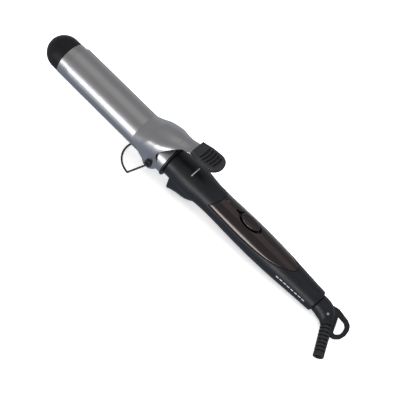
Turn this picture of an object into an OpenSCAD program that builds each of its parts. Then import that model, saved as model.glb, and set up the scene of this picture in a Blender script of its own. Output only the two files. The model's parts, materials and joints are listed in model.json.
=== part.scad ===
// Curling iron: a heated barrel with a spring clip, a folding wire stand,
// a two-part handle with a slide switch, and a swivelling cord elbow with a hanging loop.
// The pieces are laid out with the barrel's axis along X, the flange's front face at x = 0,
// the tip toward -X and the cord toward +X. place() then tips the iron onto the wire stand
// and the handle's end, so that it stands on z = 0.

/* [Barrel] */
// Outer diameter of the barrel tube
barrel_d = 32; // [24:0.5:40]
// Length of the barrel tube from the flange to the tip cap
barrel_l = 127; // [90:1:200]
// Wall of the barrel tube
barrel_wall = 0.8; // [0.6:0.1:1.4]
// Length of the straight part of the tip cap
cap_l = 7; // [3:0.5:20]

/* [Clip] */
// Thickness of the clip's sheet
clip_t = 1; // [0.8:0.1:1.4]
// Gap between the tip cap's edge and the clip's front edge
clip_setback = 7.3; // [4:0.1:20]
// Angle that the clip reaches down each side of the barrel
clip_wrap = 78; // [60:1:84]
// Distance from the pivot forward to the crease where the hood begins
hood_l = 24.8; // [20:0.2:30]
// Height of the lever's underside above the barrel's axis
lever_z = 34; // [30:0.5:36]
// Radius of the ear round the pivot
ear_r = 7.8; // [6.5:0.1:9]

/* [Thumb tab] */
// Length of the thumb tab
tab_l = 28.4; // [24:0.2:36]
// Greatest width of the thumb tab
tab_w = 20.4; // [18:0.2:24]
// Number of grip grooves across the tab
tab_grooves = 5; // [3:1:7]

/* [Pivot and stand] */
// Distance from the flange's face forward to the pivot
pivot_back = 10.8; // [10:0.1:14]
// Height of the pivot relative to the barrel's axis
pivot_z = -2; // [-4:0.5:0]
// Diameter of the pivot knob's head
knob_d = 7; // [6:0.1:8]
// Diameter of the stand's wire
wire_d = 1.8; // [1.4:0.1:2.2]
// Length of the stand's legs from the pivot to the foot
leg_l = 30.5; // [27:0.5:34]
// Clearance between each knob's face and the leg's wire
leg_out = 0.8; // [0.3:0.1:4]
// Angle of the opened legs from the vertical
leg_angle = 22.5; // [15:0.5:28]
// How far the foot's bow reaches from the legs
foot_reach = 19.4; // [15:0.1:21]

/* [Handle] */
// Length from the flange to the handle's end
handle_l = 171.5; // [165:0.5:190]
// Greatest radius of the handle
handle_r = 13.8; // [13.4:0.1:15]
// Wall of the handle's shells
shell_wall = 2.2; // [1.8:0.1:2.6]
// Radius of the flange disc
flange_r = 16.9; // [16.6:0.1:18.5]
// Thickness of the flange disc
flange_t = 2; // [1.5:0.1:3]
// Depth of the keel below the axis at its front
keel_depth = 26; // [20:0.5:26.5]
// Distance from the flange back to the keel's front corner
keel_front = 11.4; // [10:0.1:14]
// Height of the seam between panel and handle above the axis
seam_z = 4.4; // [3:0.1:6]

/* [Switch] */
// Length of the sliding button
button_l = 20; // [17:0.2:24]
// Width of the sliding button
button_w = 10; // [8:0.1:12]
// Distance from the flange to the middle of the recess
recess_x = 86; // [84:0.1:92]
// Travel of the button each way from its middle position
slide_travel = 2; // [1:0.1:3]
// How far the recess's tail reaches forward from its middle
tail_reach = 16; // [14:0.1:18]

/* [Cord end] */
// Angle of the cord boot from the handle's axis
boot_angle = 67; // [50:1:80]
// How far the boot droops about the handle's axis
droop = 4; // [0:0.5:4]
// Outer diameter of the cord boot
boot_d = 9.2; // [8.4:0.1:11]
// Length of the cord boot
boot_l = 30; // [24:0.5:34]
// Bore for the cord
cord_d = 6; // [5:0.1:6.4]
// Number of flex slots in the boot
boot_slots = 7; // [4:1:8]
// Thickness of the hanging loop
loop_t = 3.6; // [3:0.1:5]

/* [Hidden] */
$fn = 72;
fit = 0.05;                       // radial clearance of a turning fit
gap = 0.3;                        // clearance between pieces that move past each other
seam = 0.25;                      // visible gap between panel and handle
in = 0.02;                        // clearance of pieces that seat in each other
eps = 0.5;                        // how far a cutter runs past a face

barrel_r = barrel_d / 2;
bore_r = barrel_r - barrel_wall;
cap_x = -barrel_l;                // where the tube meets the cap
dome_r = barrel_r - 0.3;
tip_x = cap_x - cap_l - dome_r;
clip_ri = barrel_r + gap;
clip_ro = clip_ri + clip_t;
clip_x0 = cap_x + clip_setback;
pivot_x = -pivot_back;
crease_x = pivot_x - hood_l;
ear_y0 = clip_ro + 0.3;           // inner face of the ears
ear_y1 = ear_y0 + clip_t;
journal_r = 2.5;
tab_x0 = 12.3;
tab_x1 = tab_x0 + tab_l;
lever_w = 14.8;
knob_y0 = ear_y1 + 0.2;
knob_y1 = knob_y0 + 2;
leg_y = knob_y1 + leg_out + wire_d / 2;
knob_end = 11;                    // inner end of the knobs' pins

// place of the wire foot, and the tilt that stands it and the handle's end on one plane
foot_x = pivot_x - leg_l * sin(leg_angle);
foot_z = pivot_z - leg_l * cos(leg_angle);
end_r = 10.3;                     // radius of the handle at its end
tilt = asin((-foot_z + wire_d / 2 - end_r) / norm([handle_l - foot_x, 0.5]));
lift = -(foot_z * cos(tilt) - foot_x * sin(tilt)) + wire_d / 2;
elbow_x = handle_l + 13.9;
boot_end = 40;
reach_y = boot_end * sin(boot_angle) + boot_d / 2 * cos(boot_angle);
stand_y = leg_y + wire_d / 2;
shift_y = (reach_y - stand_y) / 2;
shift_x = -(tip_x + elbow_x + 24) / 2;

// radius of the handle along its length: [distance from the flange, radius]
handle_curve = [
    [0, 13.6], [9, 13.7], [16, 14.4], [24, 14.9], [31, 14.7], [38, 13.7], [44, 13.2], [52, 13.1],
    [60, handle_r - 0.9], [74, handle_r - 0.4], [86, handle_r - 0.1], [99, handle_r],
    [114, handle_r - 0.3], [129, handle_r - 0.9],
    [handle_l - 27.5, end_r + 1.6], [handle_l - 13.5, end_r + 0.7],
    [handle_l - 1.5, end_r + 0.1], [handle_l, end_r - 1.2]
];
neck_bore = 11;                   // radius of the handle's hollow where it is not narrower
inner_curve = concat([[flange_t - 1, neck_bore]],
    [for (p = handle_curve) if (p.x > 1 && p.x < handle_l - 4) [p.x, min(p.y - shell_wall, neck_bore)]],
    [[handle_l - 3, end_r - shell_wall]]);
neck_end = 56.7;                  // where the neck's edge crosses the top of the panel
neck_edge_r = 15.5;
panel_tip = 141.3;
// panel's side edge seen from the side, from where it begins to rise to its tip
leaf_edge = [[90, seam_z], [96, seam_z + 0.6], [103, 5.9], [113, 6.9], [121, 8], [127.5, 9.3],
    [132.6, 10.4], [137, 11.2], [139.6, 11.9], [panel_tip, 13]];

// ---- helpers ----

// moves the laid-out iron onto the plane z = 0, with its box centred on the origin
module place() {
    translate([shift_x, shift_y, lift]) rotate([0, tilt, 0]) children();
}

// cylinder along X
module rod(x0, x1, r) {
    translate([x0, 0, 0]) rotate([0, 90, 0]) cylinder(h = x1 - x0, r = r);
}

// tube along X
module tube(x0, x1, ro, ri) {
    difference() {
        rod(x0, x1, ro);
        rod(x0 - eps, x1 + eps, ri);
    }
}

// cylinder along Y through (x, z)
module pin(x, z, y0, y1, r) {
    translate([x, y0, z]) rotate([-90, 0, 0]) cylinder(h = y1 - y0, r = r);
}

// upright cylinder through (x, y)
module post(x, y, z0, z1, r) {
    translate([x, y, z0]) cylinder(h = z1 - z0, r = r);
}

// block from corner to corner
module block(a, b) {
    translate(a) cube(b - a);
}

// body of revolution about X from points [distance, radius]
module spin(points) {
    rotate([0, 90, 0]) rotate_extrude()
        polygon(concat([[0, points[0].x]], [for (p = points) [p.y, p.x]],
            [[0, points[len(points) - 1].x]]));
}

// side profile of points [x, z] given width w across the middle plane
module side(points, w) {
    translate([0, w / 2, 0]) rotate([90, 0, 0]) linear_extrude(w) polygon(points);
}

// upright slot with round ends along X
module oval(x, l, w, z0, z1) {
    post(x - (l - w) / 2, 0, z0, z1, w / 2);
    post(x + (l - w) / 2, 0, z0, z1, w / 2);
    block([x - (l - w) / 2, -w / 2, z0], [x + (l - w) / 2, w / 2, z1]);
}

// ---- heated barrel ----

module tip_cap() {
    color([0.08, 0.08, 0.09]) place() difference() {
        union() {
            spin(concat(
                [for (a = [0 : 6 : 90]) [cap_x - cap_l - dome_r * cos(a), max(dome_r * sin(a), 0.01)]],
                [[cap_x - 0.4, dome_r], [cap_x - 0.05, dome_r - 0.35]]));
            rod(cap_x - 0.2, cap_x + 8, bore_r - in);
        }
        rod(cap_x - cap_l, cap_x + 8 + eps, bore_r - 2);
    }
}

module barrel_tube() {
    color([0.62, 0.62, 0.64]) place() difference() {
        tube(cap_x, 0, barrel_r, bore_r);
        for (s = [-1, 1]) pin(pivot_x, pivot_z, s * barrel_r - 4, s * barrel_r + 4, journal_r);
    }
}

heater_l = 70;
heater_x0 = cap_x + 28;
heater_h = 3;
heater_w = 18;
film_t = 0.5;

module heater_element() {
    color([0.85, 0.83, 0.78]) place()
        block([heater_x0, -heater_w / 2, -heater_h / 2], [heater_x0 + heater_l, heater_w / 2, heater_h / 2]);
}

module insulating_film() {
    color([0.75, 0.55, 0.2]) place() for (s = [-1, 1])
        block([heater_x0 - 2, -heater_w / 2 - 1, s * (heater_h + film_t) / 2 - film_t / 2],
            [heater_x0 + heater_l + 2, heater_w / 2 + 1, s * (heater_h + film_t) / 2 + film_t / 2]);
}

module heat_spreaders() {
    flat_z = heater_h / 2 + film_t;
    color([0.7, 0.7, 0.72]) place() for (s = [0, 180]) rotate([s, 0, 0]) difference() {
        intersection() {
            rod(heater_x0 - 5, heater_x0 + heater_l + 5, bore_r - in);
            block([heater_x0 - 6, -barrel_r, flat_z], [heater_x0 + heater_l + 6, barrel_r, barrel_r]);
        }
        translate([0, 0, flat_z + 7]) rod(heater_x0 - 6, heater_x0 + heater_l + 6, 4);
    }
}

lead_y = 4.5;
fuse_x0 = heater_x0 + heater_l + 8;
fuse_l = 13;
board_x0 = 58.5;

module thermal_fuse() {
    color([0.85, 0.85, 0.8]) place() translate([0, -lead_y, 0]) rod(fuse_x0, fuse_x0 + fuse_l, 2);
}

module heater_leads() {
    color([0.85, 0.2, 0.15]) place() {
        translate([0, lead_y, 0]) rod(heater_x0 + heater_l, board_x0, 0.9);
        translate([0, -lead_y, 0]) rod(heater_x0 + heater_l, fuse_x0, 0.9);
        translate([0, -lead_y, 0]) rod(fuse_x0 + fuse_l, board_x0, 0.9);
    }
}

module barrel_holder() {
    color([0.2, 0.2, 0.21]) place() difference() {
        union() {
            rod(pivot_x - 8, -in, bore_r - in);
            rod(-0.1, flange_t, 12);
            rod(flange_t - 0.1, 34, neck_bore - in);
        }
        rod(pivot_x - 9, 35, 7);
        for (s = [0, 1]) mirror([0, s, 0]) pin(pivot_x, pivot_z, -barrel_r, -knob_end + 0.5, 2 + in);
    }
}

module heat_ring() {
    color([0.1, 0.1, 0.11]) place() tube(in, flange_t - in, flange_r, 12 + in);
}

// ---- clip ----

module pivot_knobs() {
    color([0.06, 0.06, 0.07]) place() for (s = [0, 1]) mirror([0, s, 0]) difference() {
        union() {
            pin(pivot_x, pivot_z, -knob_y1, -knob_y0, knob_d / 2);
            pin(pivot_x, pivot_z, -knob_y0 - 0.1, -bore_r - in, journal_r - fit);
            pin(pivot_x, pivot_z, -bore_r - 0.1, -knob_end, 2);
        }
        pin(pivot_x, pivot_z, -knob_y1 - eps, -bore_r - 0.6, wire_d / 2 + fit);
    }
}

// The clip is a lofted sheet. Each section is an arch of half width w whose round top is centred
// at height c, with straight skirts down to height b: [x, w, c, b]
trough_b = clip_ri * cos(clip_wrap);
hood_sections = [
    [clip_x0, clip_ri, 0, trough_b],
    [crease_x, clip_ri, 0, trough_b],
    [crease_x + 3, clip_ri + 0.1, 1.2, 2.4],
    [crease_x + 8, clip_ri + 0.2, 3.4, 0],
    [crease_x + 14, ear_y0 - 0.5, 6.2, -0.6],
    [pivot_x - 3, ear_y0 - 0.5, 9, 5],
    [pivot_x + 1, ear_y0 - 0.7, 10.6, 12],
    [pivot_x + 4, ear_y0 - 1.6, lever_z - 21.3, lever_z - 16],
    [pivot_x + 8, 13.7, lever_z - 18.2, lever_z - 10.8],
    [pivot_x + 12, 11.2, lever_z - 12.6, lever_z - 6.8],
    [pivot_x + 16, 8.8, lever_z - 7.4, lever_z - 4.6],
    [pivot_x + 20, 7.2, lever_z - 3.4, lever_z - 2.8],
    [tab_x0 - 0.5, lever_w / 2 - clip_t, lever_z - 1.7, lever_z - 1.9],
    [tab_x0 + 6, lever_w / 2 - clip_t, lever_z - 1.1, lever_z - 1.3]
];
arch_steps = 16;
arch_flat = 9;                    // where the arch turns into the flatter lever, from the pivot
flat_l = 12;                      // length over which it does
lever_arch = 0.2;                 // height of the lever's arch as a share of its half width

// height of an arch's top above its centre: round over the barrel, flatter at the lever
function arch_h(s) = s[0] < pivot_x + arch_flat
    ? s[1]
    : s[1] * (1 - (1 - lever_arch) * min(1, (s[0] - pivot_x - arch_flat) / flat_l));

// angle at which an arch grown by g ends a little above the skirt's lower edge
skirt = 0.3;
function arch_end(s, g) = acos(max(0, (s[3] + skirt - s[2]) / (arch_h(s) + g)));

// point i of an arch grown outward by g; the first and last are the skirt's lower corners
function arch_point(s, i, g) = let (
    last = arch_end(s, g),
    k = max(1, min(arch_steps - 1, i)),
    a = -last + 2 * last * (k - 1) / (arch_steps - 2)
) [s[0], (s[1] + g) * sin(a), k == i ? s[2] + (arch_h(s) + g) * cos(a) : s[3]];

module sheet(sections, t) {
    n = arch_steps;
    m = len(sections);
    ring = 2 * (n + 1);
    points = [for (s = sections) each concat(
        [for (i = [0 : n]) arch_point(s, i, t)],
        [for (i = [n : -1 : 0]) arch_point(s, i, 0)])];
    sides = [for (j = [0 : m - 2]) for (i = [0 : ring - 1])
        let (a = j * ring + i, b = j * ring + (i + 1) % ring)
        each [[a, b, b + ring], [a, b + ring, a + ring]]];
    front = [for (i = [0 : n - 1]) each [[i, ring - 1 - i, i + 1], [i + 1, ring - 1 - i, ring - 2 - i]]];
    back = [for (f = front) [for (k = [2, 1, 0]) f[k] + (m - 1) * ring]];
    polyhedron(points, concat(sides, front, back));
}

module ear() {
    translate([0, -ear_y0, 0]) rotate([90, 0, 0]) linear_extrude(clip_t) union() {
        translate([pivot_x, pivot_z]) circle(r = ear_r);
        polygon([
            [crease_x + 11, -1.8], [pivot_x - ear_r * 0.86, pivot_z - ear_r * 0.5],
            [pivot_x + ear_r, pivot_z], [pivot_x + ear_r * 0.75, pivot_z + ear_r * 0.66],
            [pivot_x + 1.6, 9.6], [pivot_x + 1, 13.3], [pivot_x - 3, 12.4], [crease_x + 13, 7.4],
            [crease_x + 11, 4.1]
        ]);
    }
}

// round front corners, cut through both sides of the trough at once
module corner_cut() {
    corner = 11;
    difference() {
        block([clip_x0 - 1, -20, 0], [clip_x0 + corner, 20, 3 + corner]);
        pin(clip_x0 + corner, 3 + corner, -21, 21, corner);
    }
}

module clip_plate() {
    color([0.6, 0.6, 0.63]) place() difference() {
        union() {
            sheet(hood_sections, clip_t);
            for (s = [0, 1]) mirror([0, s, 0]) ear();
        }
        corner_cut();
        pin(pivot_x, pivot_z, -30, 30, journal_r);
        for (x = [tab_x0 + 1.8, tab_x0 + 4.4]) post(x, 0, lever_z - 8, lever_z + 12, 0.8);
    }
}

tab_top = 3.6;                    // height of the tab above the lever at its front
tab_rise = 3;                     // how much higher its back end is
groove_pitch = 3.1;
groove_depth = 0.9;

module thumb_tab() {
    z0 = lever_z - 1.5;
    top = lever_z + tab_top;
    color([0.16, 0.16, 0.17]) place() difference() {
        intersection() {
            side([
                [tab_x0, z0], [tab_x0 + 10, z0], [tab_x0 + 18, z0 + 1], [tab_x1, z0 + 4],
                [tab_x1, top + tab_rise], [tab_x0 + 20, top + tab_rise * 0.57],
                [tab_x0 + 10, top + tab_rise * 0.2], [tab_x0, top]
            ], tab_w + 2);
            union() {
                post(tab_x1 - tab_w / 2, 0, z0 - 1, top + 9, tab_w / 2);
                linear_extrude(top + 9) polygon([
                    [tab_x0, -lever_w / 2 - 0.3], [tab_x0, lever_w / 2 + 0.3],
                    [tab_x0 + 8, tab_w / 2 - 0.6], [tab_x1 - tab_w / 2, tab_w / 2],
                    [tab_x1 - tab_w / 2, -tab_w / 2], [tab_x0 + 8, -tab_w / 2 + 0.6]
                ]);
            }
        }
        // socket for the lever
        block([tab_x0 - 1, -lever_w / 2 - 0.05, z0 - 2], [tab_x0 + 6.6, lever_w / 2 + 0.05, lever_z + 1.4]);
        // grip grooves
        for (i = [0 : tab_grooves - 1])
            translate([tab_x0 + 10.5 + groove_pitch * i, 0, top + 0.65 + 0.12 * groove_pitch * i])
            rotate([0, -10, 0])
                block([-0.8, -tab_w / 2 + 3.4, -groove_depth], [0.8, tab_w / 2 - 3.4, 4]);
    }
}

module tab_rivets() {
    color([0.7, 0.7, 0.7]) place() for (x = [tab_x0 + 1.8, tab_x0 + 4.4])
        post(x, 0, lever_z - 3, lever_z + 1.4, 0.8 - in);
}

module clip_spring() {
    // bent leaf under the hood: its arms press the barrel down and the lever up
    x0 = pivot_x + 2;
    x1 = pivot_x + 9;
    t = 0.5;
    low = barrel_r + 0.4;
    high = lever_z - 4.8;
    color([0.7, 0.7, 0.68]) place() side([
        [x1, low], [x0, low], [x0 - 3, low + 1.4], [x0 - 3, low + 2.6], [x1 + 1, high],
        [x1 + 1, high - t * 1.2], [x0 - 3 + t, low + 2.3], [x0 - 3 + t, low + 1.5], [x0 + 0.2, low + t],
        [x1, low + t]
    ], 5);
}

// ---- folding stand ----

foot_arc_r = (leg_y * leg_y + foot_reach * foot_reach) / (2 * foot_reach);
foot_half = foot_reach < leg_y ? asin(leg_y / foot_arc_r) : 90;

module wire_stand() {
    r = wire_d / 2;
    color([0.05, 0.05, 0.06]) place() {
        for (s = [0, 1]) mirror([0, s, 0]) {
            pin(pivot_x, pivot_z, -leg_y, -bore_r - 1, r);
            translate([pivot_x, -leg_y, pivot_z]) sphere(r = r * 1.02);
            translate([pivot_x, -leg_y, pivot_z]) rotate([0, 180 + leg_angle, 0])
                cylinder(h = leg_l, r = r * 0.99);
            translate([foot_x, -leg_y, foot_z]) sphere(r = r * 1.01);
        }
        // the foot lies in the plane that the iron stands on
        translate([foot_x, 0, foot_z]) rotate([0, -tilt, 0])
            translate([foot_arc_r - foot_reach, 0, 0]) rotate([0, 0, 180 - foot_half])
            rotate_extrude(angle = 2 * foot_half) translate([foot_arc_r, 0]) circle(r = r);
    }
}

// ---- handle ----

// outer body, shrunk by g all round
module handle_solid(g) {
    spin([for (p = handle_curve) [p.x, p.y - g]]);
}

// everything above the panel's seam, shrunk by g
module panel_region(g) {
    difference() {
        side(concat([[40, seam_z + g]], [for (p = leaf_edge) [p.x - g / 2, p.y + g]],
            [[panel_tip - g / 2, 22], [40, 22]]), 40);
        post(neck_end - neck_edge_r, 0, -30, 30, neck_edge_r + g);
        block([0, -30, -30], [neck_end - neck_edge_r, 30, 30]);
    }
}

module keel_disc(x, depth, r) {
    translate([x, 0, r - depth]) rotate([0, 90, 0]) cylinder(h = 0.5, r = r, $fn = 32);
}

module keel() {
    r = 14;
    hull() {
        keel_disc(keel_front - 2.4, r - 1.5, r - 1.5);
        keel_disc(keel_front, keel_depth, r);
        keel_disc(snap_x - 0.6, keel_depth - 5.8, r);
        keel_disc(39, r - 0.7, r - 0.7);
    }
}

// middle of the foot's bow when the stand is folded back along the neck
fold_angle = 90 + leg_angle;
bow_dir = fold_angle + 180 + tilt;
snap_x = pivot_x + leg_l + foot_reach * cos(bow_dir);

// slit in the keel that the folded foot snaps into
module snap_groove() {
    translate([pivot_x + leg_l, 0, pivot_z]) rotate([0, -bow_dir, 0])
        translate([foot_reach - foot_arc_r, 0, 0]) difference() {
            translate([0, 0, -wire_d / 2 - 0.4]) cylinder(h = wire_d + 0.8, r = foot_arc_r + 12);
            translate([0, 0, -wire_d]) cylinder(h = 2 * wire_d, r = foot_arc_r - wire_d / 2 - gap);
            translate([-60, -40, -wire_d]) cube([60, 80, 2 * wire_d]);
        }
}

panel_screw_x = [66, 118];

module handle_body() {
    color([0.09, 0.09, 0.1]) place() difference() {
        union() {
            difference() {
                union() {
                    difference() {
                        spin([for (p = handle_curve) [max(p.x, flange_t + in), p.y]]);
                        panel_region(0);
                    }
                    keel();
                }
                spin(inner_curve);
            }
            // bosses for the panel's screws
            for (x = panel_screw_x) intersection() {
                post(x, 0, -16, -4, 3);
                handle_solid(0.5);
            }
        }
        for (x = panel_screw_x) {
            post(x, 0, -20, 0, 1.2);
            post(x, 0, -20, -8.5, 2.3);
        }
        // mouth for the swivel
        rod(handle_l - 6, handle_l + 1, 6);
        snap_groove();
    }
}

module handle_panel() {
    color([0.36, 0.31, 0.31]) place() difference() {
        union() {
            intersection() {
                difference() {
                    handle_solid(0);
                    spin(inner_curve);
                }
                panel_region(seam);
            }
            for (x = panel_screw_x) intersection() {
                post(x, 0, -3.8, 12, 2.8);
                handle_solid(1);
            }
        }
        for (x = panel_screw_x) post(x, 0, -5, 6, 0.9);
        recess(in * 2, 0);
        post(lens_x, 0, 0, 20, lens_r + in);
    }
}

module panel_screws() {
    color([0.5, 0.5, 0.52]) place() for (x = panel_screw_x) {
        post(x, 0, -10.5, -8.5 - in, 2.1);
        post(x, 0, -8.6, 3, 0.9 - in);
    }
}

// ---- switch ----

bezel_floor = 10.2;
bezel_wall = 0.5;
stem = 2;                         // half the width of the button's square stem
switch_h = 1.3;                   // how far the stem reaches below the bezel's floor
recess_l = button_l + 2 * (slide_travel + gap + bezel_wall);
recess_w = button_w + 2 * (0.7 + bezel_wall);
tail_w = 3.2;

// upright prism with an oval plan
module dish(x, l, w, z0, z1) {
    translate([x, 0, z0]) linear_extrude(z1 - z0)
        polygon([for (a = [0 : 5 : 355]) [l / 2 * cos(a), w / 2 * sin(a)]]);
}

// oval recess with a narrow tail toward the barrel, grown by g all round
module recess(g, z0) {
    dish(recess_x, recess_l + 2 * g, recess_w + 2 * g, z0, 20);
    oval(recess_x - tail_reach / 2, tail_reach + 2 * g, tail_w + 2 * g, z0, 20);
}

module switch_bezel() {
    color([0.05, 0.05, 0.05]) place() difference() {
        intersection() {
            recess(0, bezel_floor - 1);
            handle_solid(0.1);
        }
        recess(-bezel_wall, bezel_floor);
        block([recess_x - stem - slide_travel - gap, -stem - gap, 5],
            [recess_x + stem + slide_travel + gap, stem + gap, 15]);
    }
}

module switch_button() {
    color([0.42, 0.37, 0.36]) place() union() {
        intersection() {
            dish(recess_x, button_l, button_w, bezel_floor + gap, 20);
            rod(recess_x - 20, recess_x + 20, handle_r + 1.2);
        }
        block([recess_x - stem, -stem, bezel_floor - switch_h], [recess_x + stem, stem, bezel_floor + 1]);
    }
}

board_z = 0.5;
board_t = 1.6;

module slide_switch() {
    color([0.75, 0.75, 0.77]) place()
        block([recess_x - 9, -4.5, board_z + board_t], [recess_x + 8, 4.5, bezel_floor - switch_h - gap]);
}

lens_x = neck_end + 4;
lens_r = 1.7;

module indicator_lens() {
    color([0.75, 0.3, 0.2]) place() intersection() {
        post(lens_x, 0, 9.4, 16, lens_r);
        handle_solid(0.1);
    }
}

module indicator_led() {
    color([0.9, 0.2, 0.1]) place() {
        post(lens_x, 0, board_z + board_t, 8.6, 1.5);
        post(lens_x, 0, board_z + board_t, 3.2, 1.8);
    }
}

module circuit_board() {
    color([0.1, 0.35, 0.15]) place() difference() {
        block([board_x0, -8.4, board_z], [board_x1, 8.4, board_z + board_t]);
        for (x = panel_screw_x) post(x, 0, -5, 5, 3.2);
    }
}

module power_leads() {
    color([0.2, 0.35, 0.7]) place() for (s = [-1, 1]) translate([0, s * spring_y, board_z + board_t + 1.1])
        rod(board_x1 - 6, spring_x0, 1.1);
}

// ---- cord swivel ----

bush_x0 = handle_l - 19;
core_r = 4;
spring_x0 = bush_x0 - 7;          // front of the contact springs' solder tags
spring_y = 6;
spring_w = 2.5;
board_x1 = spring_x0 - 1.5;

module swivel_bush() {
    color([0.85, 0.85, 0.82]) place() difference() {
        union() {
            rod(bush_x0, handle_l - 3.1, end_r - shell_wall - in);
            rod(handle_l - 3.2, handle_l, 6 - in);
        }
        rod(bush_x0 - 1, handle_l + 1, core_r + fit);
        rod(bush_x0 + 4, bush_x0 + 6.2, core_r + 1.2);
        for (s = [-1, 1]) block([bush_x0 - 1, s * spring_y - spring_w / 2 - 0.05, -1.5],
            [bush_x0 + 3, s * spring_y + spring_w / 2 + 0.05, 1.5]);
    }
}

module contact_springs() {
    color([0.8, 0.6, 0.25]) place() for (s = [-1, 1]) {
        block([spring_x0, s * spring_y - spring_w / 2, -1.2], [bush_x0 + 2.9, s * spring_y + spring_w / 2, 1.2]);
        // solder tag that meets the power lead's end
        block([spring_x0, s * spring_y - spring_w / 2, 0], [spring_x0 + 0.6, s * spring_y + spring_w / 2, 4]);
    }
}

module swivel_core() {
    color([0.15, 0.15, 0.16]) place() {
        rod(bush_x0 - 5.6, handle_l + 5, core_r);
        rod(bush_x0 + 4 + gap, bush_x0 + 6.2 - gap, core_r + 0.9);
    }
}

module slip_rings() {
    color([0.85, 0.65, 0.3]) place() for (x = [bush_x0 - 5, bush_x0 - 2.4])
        tube(x, x + 1.8, core_r + 0.35, core_r + in);
}

// frame of the cord boot: origin at the elbow's middle, boot along its own +X
module elbow_frame() {
    rotate([droop, 0, 0]) translate([elbow_x, 0, 0]) rotate([0, 0, -boot_angle]) children();
}

boot_x0 = boot_end - boot_l;
// cover of the elbow's screw
pin_back = 1.6;
pin_near = 5.5;
pin_z0 = 2.3;
pin_r = 1.2;

module cord_elbow() {
    color([0.1, 0.1, 0.11]) place() difference() {
        union() {
            rotate([droop, 0, 0]) {
                rod(handle_l + gap, elbow_x - 6, 8.4);
                translate([elbow_x - 6, 0, 0]) sphere(r = 8.4);
                // hanging loop
                translate([elbow_x, 0, -loop_t / 2]) linear_extrude(loop_t) difference() {
                    polygon([for (p = loop_outline) p]);
                    polygon([for (p = loop_inside) p]);
                }
            }
            elbow_frame() {
                translate([-6, 0, 0]) rotate([0, 90, 0]) cylinder(h = boot_x0 + 5, r1 = 7.6, r2 = 5.6);
            }
        }
        rod(handle_l - 1, handle_l + 5.1, core_r + in);
        rod(handle_l, elbow_x - 6, 3);
        elbow_frame() rod(boot_x0 - 4, boot_x0 + 1, boot_d / 2 - 1.2 + in);
        elbow_frame() rod(-2, boot_x0 + 1, 2.6);
        // the loop's inner end is cut to the boot's round side
        elbow_frame() rod(boot_x0 - in, boot_end + 1, boot_d / 2 + in);
        rotate([droop, 0, 0]) post(elbow_x - pin_back, -pin_near, pin_z0, 12, pin_r);
    }
}

// the loop's plan, relative to the elbow's middle
loop_outline = [
    [-3, 7.5], [4, 9.2], [15, 7.2], [19.3, 4.8], [21.2, 0.6], [21.6, -6], [20, -10.6], [16.4, -14.4],
    [12, -15.9], [8, -14.5], [2, -4]
];
loop_inside = [
    [6.8, 4.2], [14.3, 3.4], [17, 1.2], [17.9, -3.4], [17.2, -8], [14.6, -11.4], [12.4, -11.8]
];

module elbow_pin() {
    color([0.8, 0.8, 0.8]) place() rotate([droop, 0, 0])
        post(elbow_x - pin_back, -pin_near, pin_z0 + in, 6.2, pin_r - in);
}

module cord_boot() {
    slot_pitch = (boot_l - 6) / boot_slots;
    color([0.07, 0.07, 0.08]) place() elbow_frame() difference() {
        union() {
            rod(boot_x0, boot_end, boot_d / 2);
            rod(boot_x0 - 4 + in, boot_x0 + 1, boot_d / 2 - 1.2);
        }
        rod(boot_x0 - 6, boot_end + 1, cord_d / 2);
        for (i = [0 : boot_slots - 1]) for (s = [-1, 1])
            block([boot_x0 + 3 + slot_pitch * i, s * boot_d / 2 - 0.8, -3],
                [boot_x0 + 4.4 + slot_pitch * i, s * boot_d / 2 + 0.8, 3]);
    }
}

tip_cap();
barrel_tube();
heater_element();
heat_spreaders();
insulating_film();
thermal_fuse();
heater_leads();
barrel_holder();
heat_ring();
pivot_knobs();
clip_plate();
thumb_tab();
tab_rivets();
clip_spring();
wire_stand();
handle_body();
handle_panel();
panel_screws();
switch_bezel();
switch_button();
slide_switch();
indicator_lens();
indicator_led();
circuit_board();
power_leads();
swivel_bush();
contact_springs();
swivel_core();
slip_rings();
cord_elbow();
elbow_pin();
cord_boot();
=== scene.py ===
"""Curling iron with a spring clip, folding wire stand, slide switch and swivelling cord elbow.

Shapes are built in millimetres in the iron's own frame: X along the barrel's axis from the tip
toward the cord with 0 at the flange's front face, the near side at -Y, Z up. The matrix IRON
carries them into the frame of the CAD model, where the iron lies tipped on its wire stand.
"""

import json
import math

import bpy
import numpy as np
from mathutils import Matrix, Vector


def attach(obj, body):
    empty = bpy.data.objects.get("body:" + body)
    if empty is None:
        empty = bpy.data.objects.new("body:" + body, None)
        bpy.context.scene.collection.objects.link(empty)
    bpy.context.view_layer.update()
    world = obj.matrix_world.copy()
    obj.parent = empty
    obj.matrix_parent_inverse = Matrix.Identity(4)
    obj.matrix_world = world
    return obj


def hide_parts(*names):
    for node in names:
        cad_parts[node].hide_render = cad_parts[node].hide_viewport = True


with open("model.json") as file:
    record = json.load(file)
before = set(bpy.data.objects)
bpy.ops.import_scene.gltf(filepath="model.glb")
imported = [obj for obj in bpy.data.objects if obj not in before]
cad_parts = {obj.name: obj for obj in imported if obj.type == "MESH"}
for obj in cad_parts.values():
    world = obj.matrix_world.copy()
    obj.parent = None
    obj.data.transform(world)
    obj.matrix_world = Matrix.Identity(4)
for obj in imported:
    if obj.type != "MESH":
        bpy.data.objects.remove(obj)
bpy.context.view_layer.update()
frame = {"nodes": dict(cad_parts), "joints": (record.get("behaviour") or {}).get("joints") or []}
NODES = frame["nodes"]
MM = 0.001

# ---------------------------------------------------------------- the iron's own frame

joints = {j["name"]: j for j in frame["joints"]}
axis_x = Vector(joints["cord_swivel"]["axis"]).normalized()
axis_y = Vector((0, 1, 0))
axis_z = axis_x.cross(axis_y)
handle_end = Vector(joints["cord_swivel"]["pos_m"])


def along(node):
    return [(v.co - handle_end).dot(axis_x) / MM for v in NODES[node].data.vertices]


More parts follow.
